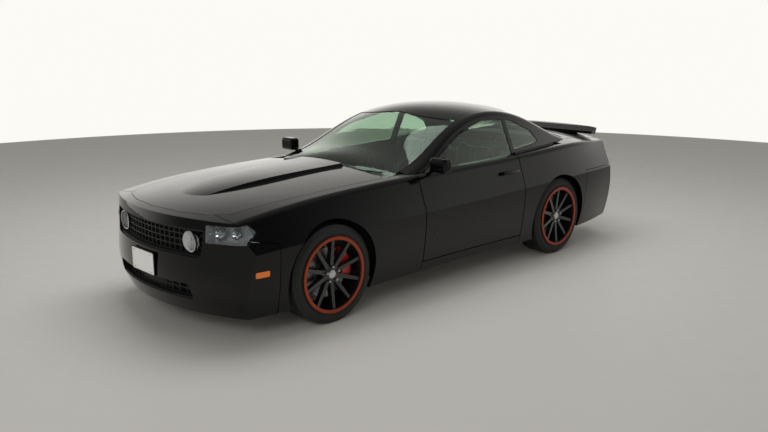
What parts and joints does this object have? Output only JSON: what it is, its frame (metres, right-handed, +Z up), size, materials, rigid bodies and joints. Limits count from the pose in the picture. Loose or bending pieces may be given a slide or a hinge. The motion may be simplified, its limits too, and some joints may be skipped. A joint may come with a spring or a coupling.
{
  "type": "muscle car",
  "caption": "Low fastback coupe with a long raised hood, wide grille, hinged doors, hood and trunk lid, steered front wheels and freely turning wheels.",
  "frame": {"origin": "on the ground under the middle of the car's length and width", "axes": "-Y towards the nose, +X the car's left side, +Z up"},
  "size_m": [2.05, 4.7798, 1.3991],
  "materials": {
    "paint": "gloss black paint",
    "glass": "clear with a green tint",
    "tyre": "black rubber",
    "rim": "gloss black with a copper-red outer lip",
    "disc": "machined",
    "caliper": "gloss red",
    "lamp": "clear lamp lens",
    "amber": "amber lens",
    "red_lens": "red lens",
    "black_plastic": "grained black",
    "chassis": "satin dark grey",
    "iron": "cast, satin",
    "steel": "brushed",
    "trim": "black leather"
  },
  "bodies": {
    "body": {"floor_structure": "chassis", "front_bumper": "paint", "rear_bumper": "paint", "fender_left": "paint", "fender_right": "paint", "quarter_left": "paint", "quarter_right": "paint", "rockers": "paint", "roof_frame": "paint", "windscreen": "glass", "rear_window": "glass", "quarter_windows": "glass", "cowl": "black_plastic", "rear_shelf": "paint", "front_liners": "black_plastic", "rear_liners": "black_plastic", "upper_grille": "black_plastic", "lower_grille": "black_plastic", "driving_lamps": "lamp", "headlamps": "lamp", "side_markers": "amber", "tail_lamps": "red_lens", "subframe": "chassis", "engine": "iron", "driveline": "iron", "radiator": "chassis", "exhaust": "steel", "fuel_tank": "black_plastic", "front_arms": "iron", "rear_axle": "iron", "rear_calipers": "caliper", "dashboard": "black_plastic", "steering_wheel": "trim", "console": "black_plastic", "front_seats": "trim", "rear_seat": "trim"},
    "hood": {"hood": "paint"},
    "trunk_lid": {"trunk_lid": "paint"},
    "door_left": {"door_left": "paint", "door_glass_left": "glass", "mirror_left": "paint"},
    "door_right": {"door_right": "paint", "door_glass_right": "glass", "mirror_right": "paint"},
    "steer_left": {"knuckle_left": "iron", "caliper_left": "caliper"},
    "steer_right": {"knuckle_right": "iron", "caliper_right": "caliper"},
    "wheel_front_left": {"tyre_front_left": "tyre", "rim_front_left": "rim", "disc_front_left": "disc"},
    "wheel_front_right": {"tyre_front_right": "tyre", "rim_front_right": "rim", "disc_front_right": "disc"},
    "wheel_rear_left": {"tyre_rear_left": "tyre", "rim_rear_left": "rim", "disc_rear_left": "disc"},
    "wheel_rear_right": {"tyre_rear_right": "tyre", "rim_rear_right": "rim", "disc_rear_right": "disc"}
  },
  "joints": [
    {"name": "steer_left", "type": "hinge", "parent": "body", "child": "steer_left", "pos_m": [0.705, -1.445, 0.35], "axis": [0, 0, 1], "range_deg": [-33, 33]},
    {"name": "steer_right", "type": "hinge", "parent": "body", "child": "steer_right", "pos_m": [-0.705, -1.445, 0.35], "axis": [0, 0, 1], "range_deg": [-33, 33]},
    {"name": "door_left", "type": "hinge", "parent": "body", "child": "door_left", "pos_m": [0.89, -0.4, 0.565], "axis": [0, 0, -1], "range_deg": [0, 65]},
    {"name": "door_right", "type": "hinge", "parent": "body", "child": "door_right", "pos_m": [-0.89, -0.4, 0.565], "axis": [0, 0, 1], "range_deg": [0, 65]},
    {"name": "hood", "type": "hinge", "parent": "body", "child": "hood", "pos_m": [0, -0.7, 0.87], "axis": [-1, 0, 0], "range_deg": [0, 50]},
    {"name": "trunk_lid", "type": "hinge", "parent": "body", "child": "trunk_lid", "pos_m": [0, 1.6, 0.975], "axis": [1, 0, 0], "range_deg": [0, 65]},
    {"name": "spin_front_left", "type": "hinge", "parent": "steer_left", "child": "wheel_front_left", "pos_m": [0.79, -1.445, 0.35], "axis": [1, 0, 0], "continuous": true},
    {"name": "spin_front_right", "type": "hinge", "parent": "steer_right", "child": "wheel_front_right", "pos_m": [-0.79, -1.445, 0.35], "axis": [1, 0, 0], "continuous": true},
    {"name": "spin_rear_left", "type": "hinge", "parent": "body", "child": "wheel_rear_left", "pos_m": [0.79, 1.275, 0.35], "axis": [1, 0, 0], "continuous": true},
    {"name": "spin_rear_right", "type": "hinge", "parent": "body", "child": "wheel_rear_right", "pos_m": [-0.79, 1.275, 0.35], "axis": [1, 0, 0], "continuous": true}
  ],
  "couplings": [
    {"joint": "steer_right", "follows": "steer_left", "ratio": 1}
  ]
}
